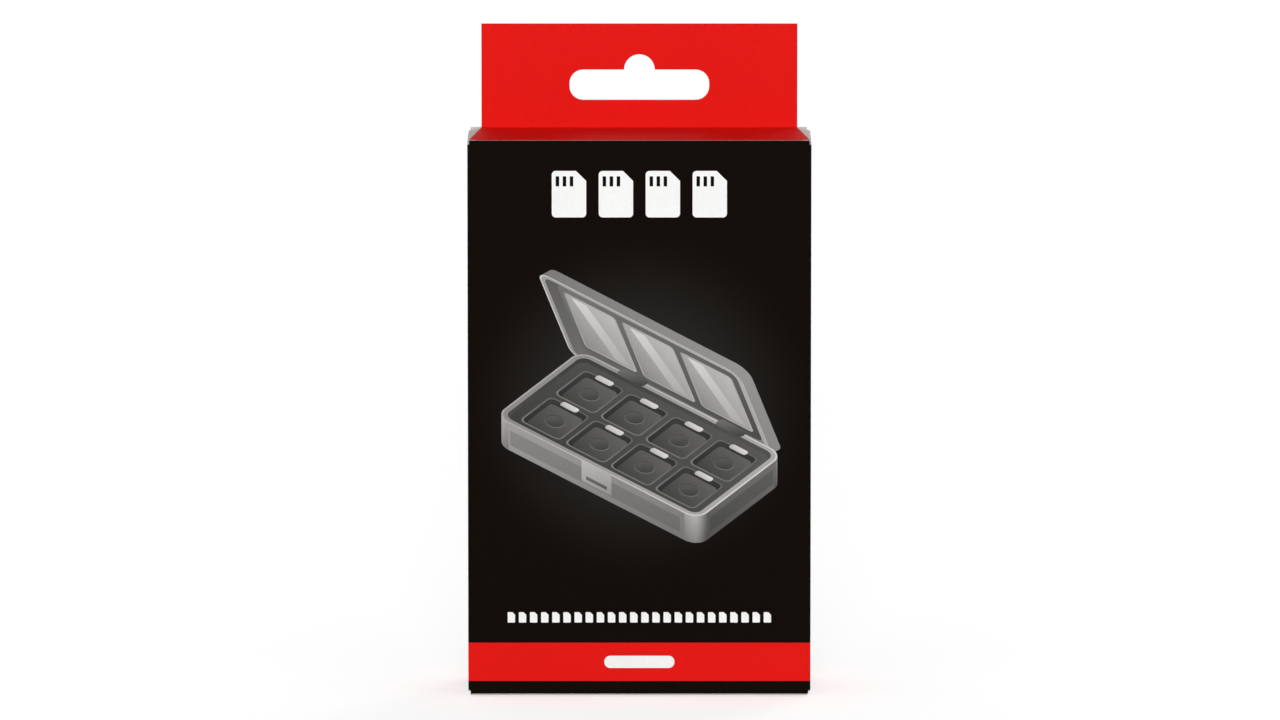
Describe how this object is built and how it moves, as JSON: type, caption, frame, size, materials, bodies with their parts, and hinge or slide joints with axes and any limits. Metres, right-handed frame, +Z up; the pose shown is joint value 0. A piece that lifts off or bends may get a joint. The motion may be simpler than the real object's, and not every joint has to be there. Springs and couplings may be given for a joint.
{
  "type": "hanging retail carton",
  "caption": "Tall folding carton with a slotted hang tab rising behind its hinged tuck-in lid, black with a red header and red band, printed with a grey picture of a card tray.",
  "frame": {"origin": "middle of the underside, where the carton stands", "axes": "+Z up towards the hang tab, front panel towards -Y, X across the front"},
  "size_m": [0.088, 0.028, 0.1709],
  "materials": {
    "black_board": "matt laminated print on folding boxboard",
    "red_board": "matt laminated print on folding boxboard",
    "red_ink": "matt printed ink",
    "white_ink": "matt printed ink",
    "pale_grey_ink": "matt printed ink",
    "mid_grey_ink": "matt printed ink",
    "dark_grey_ink": "matt printed ink"
  },
  "bodies": {
    "carton": {"carton_body": "black_board", "print_red": "red_ink", "print_white": "white_ink", "print_pale_grey": "pale_grey_ink", "print_mid_grey": "mid_grey_ink", "print_dark_grey": "dark_grey_ink"},
    "lid": {"lid": "red_board"},
    "tuck_flap": {"tuck_flap": "red_board"}
  },
  "joints": [
    {"name": "lid_hinge", "type": "hinge", "parent": "carton", "child": "lid", "pos_m": [0, 0.013, 0.144], "axis": [-1, 0, 0], "range_deg": [0, 85]},
    {"name": "tuck_fold", "type": "hinge", "parent": "lid", "child": "tuck_flap", "pos_m": [0, -0.0127, 0.1435], "axis": [-1, 0, 0], "range_deg": [-110, 0]}
  ],
  "couplings": [
    {"joint": "tuck_fold", "follows": "lid_hinge", "ratio": -1}
  ]
}
